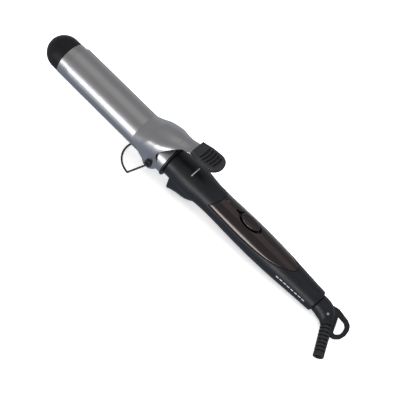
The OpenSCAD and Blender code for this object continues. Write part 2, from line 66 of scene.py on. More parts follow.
HANDLE_L = round(-min(along("heat_ring")), 1)
IRON = (
    Matrix.Translation(handle_end)
    @ Matrix((axis_x, axis_y, axis_z)).transposed().to_4x4()
    @ Matrix.Scale(MM, 4)
    @ Matrix.Translation((-HANDLE_L, 0, 0))
)
BACK = IRON.inverted()


def span(node):
    """Lowest and highest corner of a CAD node in the iron's own frame, in mm."""
    co = np.array([BACK @ v.co for v in NODES[node].data.vertices])
    return co.min(0), co.max(0)


pivot = BACK @ Vector(joints["clip_hinge"]["pos_m"])
PIVOT_X, PIVOT_Z = pivot.x, pivot.z
BARREL_R = span("barrel_tube")[1][1]
BARREL_X0 = span("barrel_tube")[0][0]
CLIP_X0 = span("clip_plate")[0][0]
TAB_LO, TAB_HI = span("thumb_tab")
BUTTON_LO, BUTTON_HI = span("switch_button")
RECESS_LO, RECESS_HI = span("switch_bezel")
LENS_LO, LENS_HI = span("indicator_lens")
KNOB_Y = -span("pivot_knobs")[0][1]

# ---------------------------------------------------------------- mesh tools


def profile(points):
    """Smooth function through (x, y) points that never overshoots them."""
    xs, ys = np.array(points, float).T
    d = np.diff(ys) / np.diff(xs)
    both = d[:-1] * d[1:] > 0
    total = np.where(both, d[:-1] + d[1:], 1)
    m = np.concatenate([[d[0]], np.where(both, 2 * d[:-1] * d[1:] / total, 0), [d[-1]]])

    def value(x):
        x = np.clip(x, xs[0], xs[-1])
        i = np.clip(np.searchsorted(xs, x, side="right") - 1, 0, len(xs) - 2)
        h = xs[i + 1] - xs[i]
        t = (x - xs[i]) / h
        return (
            ys[i] * (1 + 2 * t) * (1 - t) ** 2
            + h * m[i] * t * (1 - t) ** 2
            + ys[i + 1] * t * t * (3 - 2 * t)
            + h * m[i + 1] * t * t * (t - 1)
        )

    return value


def circle(n):
    """n angles at equal steps round a full turn, without the last one."""
    return np.linspace(0, 2 * math.pi, n, endpoint=False)


def quads(n, m):
    """Faces between n rows of m points."""
    return [[i * m + j, i * m + j + 1, (i + 1) * m + j + 1, (i + 1) * m + j]
            for i in range(n - 1) for j in range(m - 1)]


def smooth_max(a, b, k):
    h = np.clip(0.5 + 0.5 * (b - a) / k, 0, 1)
    return a * (1 - h) + b * h + k * h * (1 - h)


def resample(points, n, closed=False):
    """n points at equal distances along a polyline."""
    p = np.array(points, float)
    if closed:
        p = np.vstack([p, p[:1]])
    s = np.concatenate([[0], np.cumsum(np.linalg.norm(np.diff(p, axis=0), axis=1))])
    at = np.linspace(0, s[-1], n, endpoint=not closed)
    return np.stack([np.interp(at, s, p[:, i]) for i in range(p.shape[1])], 1)


def fillet(points, radius, steps=8, closed=False):
    """Rounds the corners of a polyline, in 2-D or 3-D."""
    p = [np.array(q, float) for q in points]
    n = len(p)
    out = []
    for i in range(n):
        if not closed and i in (0, n - 1):
            out.append(p[i])
            continue
        a, b, c = p[i - 1], p[i], p[(i + 1) % n]
        u, v = (a - b) / np.linalg.norm(a - b), (c - b) / np.linalg.norm(c - b)
        half = math.acos(max(-1, min(1, float(u @ v)))) / 2
        r = radius[i] if isinstance(radius, (list, tuple)) else radius
        cut = min(r / math.tan(half), np.linalg.norm(a - b) * 0.49, np.linalg.norm(c - b) * 0.49)
        if cut < 1e-6:
            out.append(b)
            continue
        bis = (u + v) / np.linalg.norm(u + v)
        rr = cut * math.tan(half)
        centre = b + bis * (rr / math.sin(half))
        s, e = b + u * cut - centre, b + v * cut - centre
        ang = math.acos(max(-1, min(1, float(s @ e) / (rr * rr))))
        for k in range(steps + 1):
            t = k / steps
            out.append(centre + (s * math.sin((1 - t) * ang) + e * math.sin(t * ang)) / math.sin(ang))
    return np.array(out)


class Shape:
    """Vertices and faces in mm that become one mesh object."""

    def __init__(self):
        self.verts, self.faces = [], []

    def grid(self, rows, ring=False, loop=False):
        """Quads between rows of points; ring closes each row, loop joins the last row to the first."""
        rows = np.array(rows, float)
        n, m = rows.shape[:2]
        base = len(self.verts)
        self.verts += rows.reshape(-1, 3).tolist()
        for i in range(n if loop else n - 1):
            for j in range(m if ring else m - 1):
                a, b = i * m, (i + 1) % n * m
                k = (j + 1) % m
                self.faces.append([base + a + j, base + a + k, base + b + k, base + b + j])
        return base

    def face(self, points, flip=False):
        base = len(self.verts)
        self.verts += [list(map(float, p)) for p in points]
        order = list(range(base, base + len(points)))
        self.faces.append(order[::-1] if flip else order)

    def closed_loft(self, rows):
        """Closed solid through ring rows, with flat ends."""
        self.grid(rows, ring=True)
        self.face(rows[0])
        self.face(rows[-1], flip=True)

    def revolve(self, points, n=96, centre=(0, 0)):
        """Closed solid of revolution about X through (x, r) points."""
        a = circle(n)
        rows = [
            np.stack([np.full(n, x), centre[0] + r * np.sin(a), centre[1] + r * np.cos(a)], 1)
            for x, r in points
        ]
        self.grid(rows, ring=True)

    def tube(self, path, radius, n=24, ends=True):
        """Round tube along a path; radius is a number or one number per point."""
        path = np.array(path, float)
        radius = np.broadcast_to(radius, len(path))
        tangent = np.gradient(path, axis=0)
        tangent /= np.linalg.norm(tangent, axis=1)[:, None]
        side = np.cross(tangent[0], [0.13, 0.21, 0.97])
        side /= np.linalg.norm(side)
        a = circle(n)
        rows = []
        for p, t, r in zip(path, tangent, radius):
            side = side - t * (side @ t)
            side /= np.linalg.norm(side)
            up = np.cross(t, side)
            rows.append(p + r * (np.cos(a)[:, None] * side + np.sin(a)[:, None] * up))
        self.grid(rows, ring=True)
        if ends:
            self.face(rows[0])
            self.face(rows[-1], flip=True)

    def thick(self, outer, inner, faces):
        """Closed shell between two sets of points that share faces."""
        outer, inner = np.array(outer, float), np.array(inner, float)
        keys, first = {}, []
        index = []
        for i, p in enumerate(np.round(outer, 3)):
            k = tuple(p)
            if k not in keys:
                keys[k] = len(first)
                first.append(i)
            index.append(keys[k])
        n = len(first)
        base = len(self.verts)
        self.verts += outer[first].tolist() + inner[first].tolist()
        edges = {}
        for f in faces:
            g = []
            for i in f:
                if index[i] not in g:
                    g.append(index[i])
            if len(g) < 3:
                continue
            self.faces.append([base + i for i in g])
            self.faces.append([base + n + i for i in g[::-1]])
            for a, b in zip(g, g[1:] + g[:1]):
                edges[(a, b)] = edges.get((a, b), 0) + 1
        for a, b in edges:
            if (b, a) not in edges:
                self.faces.append([base + b, base + a, base + n + a, base + n + b])

    def object(self, name, sharp=32):
        mesh = bpy.data.meshes.new(name)
        mesh.from_pydata([IRON @ Vector(v) for v in self.verts], [], self.faces)
        obj = bpy.data.objects.new(name, mesh)
        bpy.context.scene.collection.objects.link(obj)
        tidy(obj, sharp)
        return obj


def tidy(obj, sharp=32):
    """Welds doubles, turns the faces outward and smooths all but the sharp edges."""
    import bmesh

    bm = bmesh.new()
    bm.from_mesh(obj.data)
    bmesh.ops.remove_doubles(bm, verts=bm.verts, dist=4e-6)
    bmesh.ops.dissolve_degenerate(bm, edges=bm.edges, dist=2e-6)
    bmesh.ops.recalc_face_normals(bm, faces=bm.faces)
    bm.to_mesh(obj.data)
    bm.free()
    obj.data.polygons.foreach_set("use_smooth", [True] * len(obj.data.polygons))
    obj.data.set_sharp_from_angle(angle=math.radians(sharp))


def carve(obj, cutters, operation="DIFFERENCE", sharp=32, bevel=0):
    """Cuts other solids from obj for good, and breaks its sharp edges by bevel mm."""
    for c in cutters:
        m = obj.modifiers.new("carve", "BOOLEAN")
        m.object, m.operation, m.solver = c, operation, "EXACT"
    if bevel:
        m = obj.modifiers.new("edge", "BEVEL")
        m.width, m.segments, m.limit_method = bevel * MM, 2, "ANGLE"
        m.angle_limit = math.radians(38)
        m.use_clamp_overlap = True
    bpy.context.view_layer.update()
    mesh = bpy.data.meshes.new_from_object(
        obj.evaluated_get(bpy.context.evaluated_depsgraph_get())
    )
    obj.modifiers.clear()
    obj.data = mesh
    for c in cutters:
        bpy.data.objects.remove(c)
    tidy(obj, sharp)
    return obj


def prism(outline, lo, hi, axis="z"):
    """Cutter: a 2-D outline pushed from lo to hi along Z, or (x, z) outline along Y."""
    s = Shape()
    place = (lambda p, h: (p[0], p[1], h)) if axis == "z" else (lambda p, h: (p[0], h, p[1]))
    s.closed_loft([[place(p, lo) for p in outline], [place(p, hi) for p in outline]])
    return s.object("cutter")


def ellipse(cx, a, b, n=72):
    t = circle(n)
    return np.stack([cx + a * np.cos(t), b * np.sin(t)], 1)


# ---------------------------------------------------------------- materials


def finish(
    name,
    colour,
    rough,
    metal=0.0,
    coat=0.0,
    coat_rough=0.05,
    specular=0.5,
    mottle=0.08,
    mottle_size=6.0,
    rough_vary=0.05,
    grain=0.3,
    grain_depth=0.01,
    streak=None,
    edge_highlight=0.0,
    glow=None,
    glow_strength=0.4,
):
    """Procedural surface: colour and roughness vary slowly, with a fine grain or streaks as bump.

    Sizes are in mm. streak=(along, across) stretches the grain along the iron's axis.
    A painted highlight lightens the convex edges a little, by the given amount.
    """
    mat = bpy.data.materials.new(name)
    mat.use_nodes = True
    nodes, links = mat.node_tree.nodes, mat.node_tree.links
    bsdf = nodes["Principled BSDF"]
    bsdf.inputs["Metallic"].default_value = metal
    bsdf.inputs["Coat Weight"].default_value = coat
    bsdf.inputs["Coat Roughness"].default_value = coat_rough
    bsdf.inputs["Specular IOR Level"].default_value = specular
    if glow:
        bsdf.inputs["Emission Color"].default_value = (*glow, 1)
        bsdf.inputs["Emission Strength"].default_value = glow_strength

    def add(kind, **values):
        node = nodes.new(kind)
        for key, value in values.items():
            if key in node.inputs:
                node.inputs[key].default_value = value
            else:
                setattr(node, key, value)
        return node

    where = add("ShaderNodeTexCoord")
    slow = add("ShaderNodeTexNoise", Scale=1000 / mottle_size, Detail=3.0, Roughness=0.55)
    links.new(where.outputs["Object"], slow.inputs["Vector"])
    tint = add("ShaderNodeValToRGB")
    low = [c * (1 - mottle) for c in colour]
    high = [min(1, c * (1 + mottle)) for c in colour]
    tint.color_ramp.elements[0].position, tint.color_ramp.elements[0].color = 0.3, (*low, 1)
    tint.color_ramp.elements[1].position, tint.color_ramp.elements[1].color = 0.7, (*high, 1)
    links.new(slow.outputs["Fac"], tint.inputs["Fac"])
    base = tint.outputs["Color"]
    # painted highlight: the convex edges are lightened where pointiness is high
    if edge_highlight:
        bump_edge = add("ShaderNodeNewGeometry")
        edge = add("ShaderNodeMapRange")
        edge.inputs["From Min"].default_value = 0.52
        edge.inputs["From Max"].default_value = 0.62
        edge.inputs["To Max"].default_value = edge_highlight
        links.new(bump_edge.outputs["Pointiness"], edge.inputs["Value"])
        lighter = add("ShaderNodeMix", data_type="RGBA")
        highlight_tint = [min(1, c * 1.8 + 0.03) for c in colour]
        lighter.inputs[7].default_value = (*highlight_tint, 1)
        links.new(edge.outputs["Result"], lighter.inputs[0])
        links.new(base, lighter.inputs[6])
        base = lighter.outputs[2]
    links.new(base, bsdf.inputs["Base Color"])

    fine_in = where.outputs["Object"]
    if streak:
        stretch = add("ShaderNodeMapping", vector_type="TEXTURE")
        stretch.inputs["Rotation"].default_value = (0, math.asin(-axis_x.z), 0)
        stretch.inputs["Scale"].default_value = (streak[0], streak[1], streak[1])
        links.new(fine_in, stretch.inputs["Vector"])
        fine_in = stretch.outputs["Vector"]
    fine = add("ShaderNodeTexNoise", Scale=1000.0 if streak else 1000 / grain, Detail=2.0)
    links.new(fine_in, fine.inputs["Vector"])
    spread = add("ShaderNodeMapRange")
    spread.inputs["From Min"].default_value = 0.3
    spread.inputs["From Max"].default_value = 0.7
    spread.inputs["To Min"].default_value = max(0.02, rough - rough_vary)
    spread.inputs["To Max"].default_value = min(1, rough + rough_vary)
    links.new(slow.outputs["Fac"] if not streak else fine.outputs["Fac"], spread.inputs["Value"])
    links.new(spread.outputs["Result"], bsdf.inputs["Roughness"])
    bump = add("ShaderNodeBump", Strength=0.5, Distance=grain_depth * MM)
    links.new(fine.outputs["Fac"], bump.inputs["Height"])
    links.new(bump.outputs["Normal"], bsdf.inputs["Normal"])
    return mat


M = {
    "barrel": finish("barrel_metal", (0.42, 0.415, 0.415), 0.34, metal=1.0, mottle=0.03, mottle_size=14,
                     rough_vary=0.03, streak=(9, 0.35), grain_depth=0.006),
    "clip": finish("clip_metal", (0.44, 0.44, 0.455), 0.34, metal=1.0, mottle=0.03, mottle_size=16,
                   rough_vary=0.03, streak=(9, 0.35), grain_depth=0.006),
    "cap": finish("cap_plastic", (0.004, 0.004, 0.005), 0.5, specular=0.22, mottle=0.15,
                  grain=0.5, grain_depth=0.008),
    "body": finish("body_plastic", (0.0035, 0.0042, 0.006), 0.42, specular=0.4, mottle=0.12,
                   mottle_size=9, grain=0.22, grain_depth=0.018),
    "panel": finish("panel_paint", (0.038, 0.026, 0.026), 0.2, metal=1.0, coat=1.0, coat_rough=0.1,
                    mottle=0.12, mottle_size=0.5, grain=0.25, grain_depth=0.004),
    # the tab's convex edges and groove rims get a painted highlight
    "tab": finish("tab_plastic", (0.010, 0.0105, 0.012), 0.5, mottle=0.12, grain=0.25, grain_depth=0.02,
                  edge_highlight=0.35),
    "wire": finish("black_wire", (0.006, 0.006, 0.007), 0.35, mottle=0.15, grain=0.6, grain_depth=0.01),
    "part": finish("black_part", (0.005, 0.005, 0.006), 0.42, mottle=0.15, grain=0.3,
                   grain_depth=0.012),
    # the boot's convex rib edges get a painted highlight
    "rubber": finish("boot_rubber", (0.007, 0.0075, 0.009), 0.55, mottle=0.15, mottle_size=4, grain=0.3,
                     grain_depth=0.02, edge_highlight=0.2),
    "lens": finish("lens_clear", (0.018, 0.006, 0.006), 0.15, coat=1.0, mottle=0.1, grain=0.6,
                   grain_depth=0.003),
    "zinc": finish("zinc_steel", (0.5, 0.5, 0.52), 0.32, metal=1.0, mottle=0.06, grain=0.3),
    # the pin is painted light grey to stand in for the highlight dot on its head
    "pin": finish("pin_light", (0.16, 0.16, 0.17), 0.45, mottle=0.06, grain=0.4),
    "brass": finish("brass_parts", (0.72, 0.5, 0.2), 0.3, metal=1.0, mottle=0.08, grain=0.4),
    "aluminium": finish("aluminium_parts", (0.72, 0.72, 0.74), 0.35, metal=1.0, mottle=0.05,
                        streak=(8, 0.4)),
    "ceramic": finish("ceramic_parts", (0.8, 0.78, 0.7), 0.6, mottle=0.05, grain=0.4, grain_depth=0.02),
    "film": finish("film_parts", (0.55, 0.25, 0.04), 0.25, mottle=0.1, coat=0.5),
    "board": finish("board_green", (0.02, 0.12, 0.04), 0.4, coat=0.4, mottle=0.15, mottle_size=3),
    "red": finish("lead_red", (0.5, 0.03, 0.02), 0.5, mottle=0.08),
    "blue": finish("lead_blue", (0.04, 0.1, 0.35), 0.5, mottle=0.08),
    "holder": finish("holder_plastic", (0.02, 0.02, 0.021), 0.5, mottle=0.12, grain=0.3,
                     grain_depth=0.015),
    "print": finish("grey_print", (0.42, 0.43, 0.45), 0.5, mottle=0.1, mottle_size=0.8, grain=0.3),
    "floor": finish("floor_paper", (0.92, 0.92, 0.92), 0.9, specular=0.1, mottle=0.01, mottle_size=120,
                    grain=1.5, grain_depth=0.01, glow=(1, 1, 1), glow_strength=0.42),
}


def dress(obj, material):
    obj.data.materials.clear()
    obj.data.materials.append(M[material])


def place(obj, body, material, slot, *replaced):
    """Gives a piece its finish, its body and the CAD nodes that it stands for."""
    dress(obj, material)
    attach(obj, body)
    if replaced:
        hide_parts(*replaced)
    return obj


CARRIED = {
    "heater_element": "ceramic", "heat_spreaders": "aluminium", "insulating_film": "film",
    "thermal_fuse": "ceramic", "heater_leads": "red", "barrel_holder": "holder", "tab_rivets": "zinc",
    "clip_spring": "zinc", "panel_screws": "zinc", "slide_switch": "zinc", "indicator_led": "lens",
    "circuit_board": "board", "power_leads": "blue", "swivel_bush": "holder",
    "contact_springs": "brass", "swivel_core": "part", "slip_rings": "brass",
}
for node, material in CARRIED.items():
    dress(NODES[node], material)

# ---------------------------------------------------------------- barrel and tip cap

cap = Shape()
dome_r = BARREL_R - 0.3
cap_x = BARREL_X0 - 7
dome = [(cap_x - dome_r * math.cos(a), dome_r * math.sin(a))
        for a in np.radians(np.linspace(0.01, 90, 40))]
cap.revolve(
    dome
    + [(cap_x + 1, dome_r), (cap_x + 2.5, dome_r), (BARREL_X0 - 1.0, dome_r),
       (BARREL_X0 - 0.5, dome_r - 0.05), (BARREL_X0 - 0.22, dome_r - 0.3),
       (BARREL_X0 - 0.12, dome_r - 0.9), (BARREL_X0 + 6, dome_r - 0.9), (BARREL_X0 + 7, dome_r - 1.8),
       (BARREL_X0 + 7, 0.01)],
    n=128,
)
place(cap.object("tip_cap_dome"), "handle", "cap", "cap_plastic", "tip_cap")

barrel = Shape()
r, t = BARREL_R, 0.8
barrel.grid(
    [
        [(x, rr * math.sin(a), rr * math.cos(a)) for a in circle(128)]
        for x, rr in [(BARREL_X0 + 0.3, r - t), (BARREL_X0 + 0.05, r - t + 0.1), (BARREL_X0, r - 0.45),
                      (BARREL_X0 + 0.05, r - 0.15), (BARREL_X0 + 0.25, r), (BARREL_X0 + 2, r)]
        + [(x, r) for x in np.linspace(BARREL_X0 + 8, -6, 16)]
        + [(-1, r), (-0.3, r), (-0.1, r - 0.1), (-0.06, r - 0.3), (-0.06, r - t), (-1, r - t)]
    ],
    ring=True,
    loop=True,
)
place(barrel.object("barrel_skin"), "handle", "barrel", "barrel_metal", "barrel_tube")

# flange disc with rounded rim and a shallow step on its face
fr = span("heat_ring")[1][1]
ring = Shape()
ring.grid(
    [
        [(x, rr * math.sin(a), rr * math.cos(a)) for a in circle(128)]
        for x, rr in [(0.02, 12.05), (0.02, fr - 0.5), (0.12, fr - 0.2), (0.4, fr), (1.5, fr),
                      (1.8, fr - 0.15), (1.95, fr - 0.5), (1.95, fr - 1.6), (1.7, fr - 1.8),
                      (1.7, fr - 2.6), (1.97, 13.4), (1.97, 12.05)]
    ],
    ring=True,
    loop=True,
)
place(ring.object("flange_ring", 40), "handle", "body", "body_plastic", "heat_ring")

# ---------------------------------------------------------------- handle

radius = profile([
    (0, 13.6), (9, 13.7), (16, 14.4), (24, 14.9), (31, 14.6), (38, 13.8), (44, 13.25), (52, 13.0),
    (60, 13.05), (74, 13.4), (86, 13.7), (99, 13.8), (114, 13.5), (129, 12.9), (144, 11.9), (158, 11),
    (170, 10.35), (170.9, 10.1), (171.3, 9.7), (171.5, 9.1),
])
keel_depth = profile([
    (8.6, 11.5), (9.2, 13.6), (10.4, 20.6), (11.0, 24.0), (11.35, 25.4), (11.8, 26.0), (12.6, 25.8),
    (14.5, 24.6), (17.7, 23.1), (22.9, 21.3), (28.2, 20.2), (33.4, 17.4), (37, 14.6), (40, 12.6),
])
keel_half = profile([(8.6, 12.2), (9.2, 12.9), (10.4, 13.6), (11.6, 14.0), (28, 14.0), (36, 13.6),
    (40, 12.4)])
NECK_ARC_X, NECK_ARC_R = 41.2, 15.5
LEAF_X0, LEAF_TIP = 50.6, 141.3
leaf_angle = profile([
    (50.6, 66), (58, 68), (67, 69.2), (83, 70), (95, 67.8), (103, 65), (113, 60), (121, 53.6),
    (127.5, 45), (132.6, 35.6), (137, 25.2), (139.4, 18), (140.5, 13.2), (141.0, 9), (141.22, 5),
    (141.3, 0),
])


def outer_radius(x, a):
    """Radius of the handle's outside at x and angle a (radians from the top), keel included."""
    round_r = radius(x)
    h = keel_depth(x) - keel_half(x)
    down = np.abs((a - math.pi + math.pi) % (2 * math.pi) - math.pi)  # angle from straight down
    s = np.maximum(np.sin(down), 1e-6)
    side = keel_half(x) / s
    low = h * np.cos(down) + np.sqrt(np.maximum(keel_half(x) ** 2 - (h * np.sin(down)) ** 2, 0))
    keel = np.where(side * np.cos(down) <= h, side, low)
    keel = np.where((down < math.pi / 2) & (x > 8.7) & (x < 39.6) & (h > 0), keel, 0)
    return np.where(keel > 0, smooth_max(round_r, keel, 0.5), round_r)


def at(x, a, r):
    return np.stack([x, r * np.sin(a), r * np.cos(a)], -1)


# leaf outline in (x, distance round from the top)
leaf_side_x = np.concatenate([np.linspace(LEAF_X0, 139, 90),
    141.3 - 2.3 * (1 - np.linspace(0, 1, 16)[1:]) ** 2])
side_line = np.stack([leaf_side_x, np.radians(leaf_angle(leaf_side_x))], 1)
arc_y = np.linspace(-1, 1, 41) * 13.1 * math.sin(math.radians(66))
arc_x = NECK_ARC_X + np.sqrt(NECK_ARC_R**2 - arc_y**2)
arc_x += LEAF_X0 - arc_x[0]
arc_a = np.arcsin(np.clip(arc_y / radius(arc_x), -1, 1))
arc_a *= math.radians(66) / arc_a[-1]
outline_pts = np.vstack([
    np.stack([side_line[:, 0], -side_line[:, 1]], 1),
    side_line[::-1],
    np.stack([arc_x, arc_a], 1)[::-1],
])
flat_outline = np.stack([outline_pts[:, 0], outline_pts[:, 1] * 13.2], 1)
dense_outline = resample(flat_outline, 900, closed=True)


def edge_distance(x, a):
    p = np.stack([x.ravel(), ((a.ravel() + math.pi) % (2 * math.pi) - math.pi) * 13.2], 1)
    best = np.full(len(p), 9.0)
    near = np.where((p[:, 0] > LEAF_X0 - 4) & (p[:, 0] < LEAF_TIP + 4))[0]
    for i in range(0, len(near), 2000):
        q = p[near[i : i + 2000]]
        d = np.linalg.norm(q[:, None] - dense_outline[None], axis=2).min(1)
        best[near[i : i + 2000]] = d
    return best.reshape(x.shape)


def rolled(d, r):
    """Drop of a rounded edge of radius r at distance d from it."""
    return np.where(d < r, r - np.sqrt(np.maximum(r * r - (r - np.minimum(d, r)) ** 2, 0)), 0)


EDGE_R = 0.55
edge_steps = [0, 0.05, 0.15, 0.3, 0.55]

# body: stations along x, columns round; the top sector ends at the neck's curved edge
neck_x = np.concatenate([
    [2.05, 2.12, 2.3, 2.6, 3.2, 4.5, 6, 7.5], np.arange(8.5, 13, 0.22), np.arange(13.2, 40.5, 0.9),
    [42.5, 45],
])
leaf_x = np.concatenate([
    [45, 47, 48.6, 49.6, 50.2, LEAF_X0], np.linspace(LEAF_X0 + 0.6, 120, 46),
    np.linspace(121.2, 137, 16), np.linspace(137.6, 139.8, 6),
    [140.3, 140.7, 141.0, 141.15, 141.24, 141.3, 141.36, 141.45, 141.6, 141.85, 142.4],
    np.linspace(144, 168, 15), [169.2, 170, 170.5, 170.9, 171.2, 171.4, 171.5],
])
low_n = 116


def low_angles(x):
    """Angles of the lower patch's columns at station x, dense next to the leaf's edge."""
    a0 = math.radians(66) if x < LEAF_X0 else (0 if x >= LEAF_TIP else math.radians(leaf_angle(x)))
    e = np.array(edge_steps) / 13.2
    inner = np.linspace(a0 + e[-1], 2 * math.pi - a0 - e[-1], low_n)[1:-1]
    return np.concatenate([a0 + e, inner, (2 * math.pi - a0 - e)[::-1]])


top_angles = np.linspace(-math.radians(66), math.radians(66), 41)
points, faces = [], []


def patch(x, a, flip=False):
    base = sum(len(p[0]) for p in points)
    points.append((x.ravel(), a.ravel()))
    n, m = x.shape
    for i in range(n - 1):
        for j in range(m - 1):
            q = [base + i * m + j, base + i * m + j + 1, base + (i + 1) * m + j + 1,
                 base + (i + 1) * m + j]
            faces.append(q[::-1] if flip else q)


low = np.array([low_angles(10.0) for _ in neck_x])
patch(np.repeat(neck_x[:, None], low.shape[1], 1), low)
patch(np.repeat(neck_x[:, None], len(top_angles), 1), np.repeat(top_angles[None], len(neck_x), 0))
low = np.array([low_angles(x) for x in leaf_x])
patch(np.repeat(leaf_x[:, None], low.shape[1], 1), low)
edge_x = np.interp(top_angles, arc_a, arc_x)
steps = np.concatenate([np.linspace(0, 0.82, 6), [0.9, 0.94, 0.965, 0.985, 0.995, 1]])
patch(45 + (edge_x[None] - 45) * steps[:, None], np.repeat(top_angles[None], len(steps), 0))
xs = np.concatenate([p[0] for p in points])
angles = np.concatenate([p[1] for p in points])
drop = rolled(edge_distance(xs, angles), EDGE_R)
front_roll = rolled(np.maximum(xs - 2.05, 0), 0.5)
outer = at(xs, angles, outer_radius(xs, angles) - drop - front_roll)
inner_r = np.minimum(radius(xs) - 2.2, 11.2)
inner_r = np.where(xs > 171.0, 6.1, inner_r)
inner_r = np.where(xs > 165, np.minimum(inner_r, 8.0), inner_r)
inner = at(np.where(xs > 171.4, 170.5, xs), angles, np.minimum(inner_r, radius(xs) - 1.4))
body = Shape()
body.thick(outer, inner, faces)
body = body.object("handle_shell", 34)

# slit in the keel that the folded foot snaps into: part of a disc round the folded foot's bow
WIRE_R = 0.9
LEG_Y = span("wire_stand")[1][1] - WIRE_R
LEG_L, LEG_ANGLE = 30.5, math.radians(22.5)
FOOT = np.array([PIVOT_X - LEG_L * math.sin(LEG_ANGLE), 0, PIVOT_Z - LEG_L * math.cos(LEG_ANGLE)])
TILT = math.asin(-axis_x.z)
BOW = np.array([-math.cos(TILT), 0, -math.sin(TILT)])  # the foot's bow reaches this way on the table
BOW_REACH = 19.4
BOW_R = (LEG_Y**2 + BOW_REACH**2) / (2 * BOW_REACH)


def folded(p):
    """A point of the stand when it is folded back along the neck."""
    turn = -(math.pi / 2 + LEG_ANGLE)
    x, z = p[0] - PIVOT_X, p[2] - PIVOT_Z
    return np.array([
        PIVOT_X + x * math.cos(turn) - z * math.sin(turn), p[1],
        PIVOT_Z + x * math.sin(turn) + z * math.cos(turn)
    ])


def bow_point(angle, r):
    return FOOT + BOW * (BOW_REACH - BOW_R + r * math.cos(angle)) + np.array([0, r * math.sin(angle),
        0])


slit = Shape()
normal = np.cross(BOW, [0, 1, 0]) * (WIRE_R + 0.35)
arc = np.linspace(-0.75, 0.75, 40)
slit.closed_loft([
    [folded(bow_point(a, r) + s * normal) for r, s in
     [(BOW_R - WIRE_R - 0.3, -1), (BOW_R + 9, -1), (BOW_R + 9, 1), (BOW_R - WIRE_R - 0.3, 1)]]
    for a in arc
])
body = carve(body, [slit.object("cutter")], sharp=34)
place(body, "handle", "body", "body_plastic", "handle_body")

# panel: rings from the leaf's outline in to its middle line
gap = 0.24
far_half = resample(
    np.vstack([
        np.stack([arc_x, arc_a * 13.2], 1)[len(arc_x) // 2 :],
        np.stack([side_line[:, 0], side_line[:, 1] * 13.2], 1)[1:],
    ]),
    151,
)
ring_pts = np.vstack([far_half, (far_half * [1, -1])[-2:0:-1]])
mid = np.stack([np.clip(ring_pts[:, 0], 63, 132), np.zeros(len(ring_pts))], 1)
to_mid = mid - ring_pts
reach = np.linalg.norm(to_mid, axis=1)[:, None]
rows_x, rows_a = [], []
for step in [gap + e for e in edge_steps] + list(np.linspace(0.06, 1, 18)):
    f = np.clip(step / reach, 0, 1) if step in [gap + e for e in edge_steps] else (
        np.clip((gap + edge_steps[-1]) / reach, 0, 1) * (1 - step) + step)
    q = ring_pts + to_mid * f
    rows_x.append(q[:, 0])
    rows_a.append(q[:, 1] / 13.2)
rows_x, rows_a = np.array(rows_x), np.array(rows_a)
faces, m = [], rows_x.shape[1]
for i in range(len(rows_x) - 1):
    for j in range(m):
        k = (j + 1) % m
        faces.append([i * m + j, i * m + k, (i + 1) * m + k, (i + 1) * m + j])
px, pa = rows_x.ravel(), rows_a.ravel()
drop = rolled(np.maximum(edge_distance(px, pa) - gap, 0), EDGE_R)
panel = Shape()
panel.thick(at(px, pa, radius(px) - drop), at(px, pa, radius(px) - 2.2), faces)
panel = panel.object("panel_cover", 40)

# switch recess: an oval with a short narrow tail toward the barrel
REC_X = (BUTTON_LO[0] + BUTTON_HI[0]) / 2
REC_A = RECESS_HI[0] - REC_X
REC_B = RECESS_HI[1]
TAIL = REC_X - RECESS_LO[0]
TAIL_R = 1.6


def recess_outline(shrink=0.0):
    t = np.linspace(0, 1, 61)
    t = np.concatenate([0.12 * (t[:-1] ** 1.0), 0.12 + 0.88 * t])  # dense next to the tail
    phi = np.concatenate([t * math.pi, -t[1:-1][::-1] * math.pi])
    oval = 1 / np.sqrt((np.cos(phi) / (REC_A - shrink)) ** 2 + (np.sin(phi) / (REC_B - shrink)) ** 2)
    reach, r = TAIL - TAIL_R, max(TAIL_R - shrink, 0.2)
    sin, cos = np.abs(np.sin(phi)), np.cos(phi)
    cap_r = reach * cos + np.sqrt(np.maximum(r * r - (reach * sin) ** 2, 0))
    side = r / np.maximum(sin, 1e-6)
    tail = np.where(cos > 0, np.where(side * cos < reach, side, cap_r), 0)
    rr = smooth_max(oval, np.minimum(tail, TAIL), 0.9)
    return np.stack([REC_X - rr * np.cos(phi), rr * np.sin(phi)], 1)


lens_x = (LENS_LO[0] + LENS_HI[0]) / 2
lens_r = (LENS_HI[0] - LENS_LO[0]) / 2
panel = carve(
    panel,
    [prism(recess_outline(0.0), 5, 20), prism(ellipse(lens_x, lens_r + 0.12, lens_r + 0.12), 5, 20)],
    sharp=40,
)
place(panel, "handle", "panel", "panel_paint", "handle_panel")

# bezel: black pan inside the recess
FLOOR_Z = 10.2


def surface_z(p, drop=0.0):
    return np.sqrt((radius(p[:, 0]) - drop) ** 2 - p[:, 1] ** 2)


o, i1, i2 = recess_outline(0.06), recess_outline(0.4), recess_outline(0.75)
pan = Shape()
pan.closed_loft([
    np.column_stack([o, np.full(len(o), FLOOR_Z - 0.9)]),
    np.column_stack([o, surface_z(o, 0.25)]),
    np.column_stack([i1, surface_z(i1, 0.3)]),
    np.column_stack([i2, np.full(len(o), FLOOR_Z + 0.3)]),
    np.column_stack([recess_outline(1.0), np.full(len(o), FLOOR_Z)]),
])
place(pan.object("switch_pan", 40), "handle", "part", "black_part", "switch_bezel")

# button: oval cap with a crowned top and a rounded rim
BTN_A, BTN_B = (BUTTON_HI[0] - BUTTON_LO[0]) / 2, BUTTON_HI[1]
btn_top = BUTTON_HI[2]


def button_top(x, y):
    return btn_top - 0.022 * y * y - 0.0035 * (x - REC_X) ** 2


